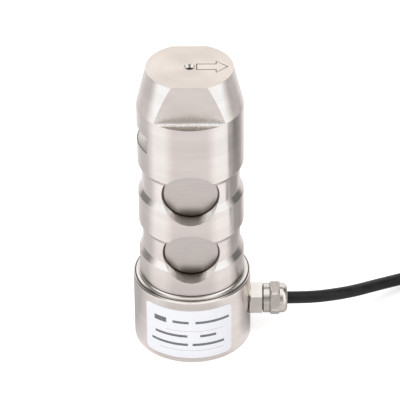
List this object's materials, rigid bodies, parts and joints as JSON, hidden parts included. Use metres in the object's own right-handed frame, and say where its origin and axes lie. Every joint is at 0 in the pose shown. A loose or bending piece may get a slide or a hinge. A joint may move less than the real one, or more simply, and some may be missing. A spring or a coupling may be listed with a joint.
{
  "type": "shear pin load cell",
  "caption": "Turned stainless shear pin load cell with load grooves, covered gauge pockets, a keeper slot, spanner flats and a coiled signal lead.",
  "frame": {"origin": "middle of the head's outer face, on the pin's axis", "axes": "+Z along the pin from the head to the tip; +X out of the cable gland; -X out of the keeper slot; -Y and +Y out of the gauge pockets"},
  "size_m": [0.2331, 0.0838, 0.1493],
  "materials": {
    "stainless_turned": "fine turned and satin",
    "stainless_gauge_cover": "rolled sheet, satin, welded edge",
    "stainless_cover": "turned, satin",
    "screw_steel": "machined",
    "gland_nickel": "nickel plate, satin to polished",
    "rubber_black": "matt",
    "claw_plastic": "moulded",
    "cable_jacket": "extruded, satin",
    "core_insulation": "extruded",
    "shrink_sleeve": "shrunk, satin",
    "tie_plastic": "moulded, satin",
    "label_paper": "smooth coated paper",
    "gauge_film": "amber film with metal foil",
    "terminal_strip": "laminate with solder",
    "lead_wire": "fine insulated wires",
    "board_green": "solder mask",
    "resistor_body": "dipped coating",
    "standoff_brass": "turned"
  },
  "bodies": {
    "root": {"board_screws": "screw_steel", "board_standoffs": "standoff_brass", "cable": "cable_jacket", "cable_coil": "cable_jacket", "cable_end_cores": "core_insulation", "cable_end_sleeve": "shrink_sleeve", "cable_inner_cores": "core_insulation", "cable_tail": "cable_jacket", "coil_ties": "tie_plastic", "end_cover": "stainless_cover", "end_cover_screws": "screw_steel", "end_cover_seal": "rubber_black", "gauge_cover_lower_back": "stainless_gauge_cover", "gauge_cover_lower_front": "stainless_gauge_cover", "gauge_cover_upper_back": "stainless_gauge_cover", "gauge_cover_upper_front": "stainless_gauge_cover", "gauge_leads_lower_back": "lead_wire", "gauge_leads_lower_front": "lead_wire", "gauge_leads_upper_back": "lead_wire", "gauge_leads_upper_front": "lead_wire", "gauge_terminals_lower_back": "terminal_strip", "gauge_terminals_lower_front": "terminal_strip", "gauge_terminals_upper_back": "terminal_strip", "gauge_terminals_upper_front": "terminal_strip", "gland_body": "gland_nickel", "gland_claw": "claw_plastic", "gland_nut": "gland_nickel", "gland_seal": "rubber_black", "gland_washer": "rubber_black", "junction_board": "board_green", "label": "label_paper", "pin_body": "stainless_turned", "strain_gauge_lower_back": "gauge_film", "strain_gauge_lower_front": "gauge_film", "strain_gauge_upper_back": "gauge_film", "strain_gauge_upper_front": "gauge_film", "trim_resistors": "resistor_body"}
  },
  "joints": []
}
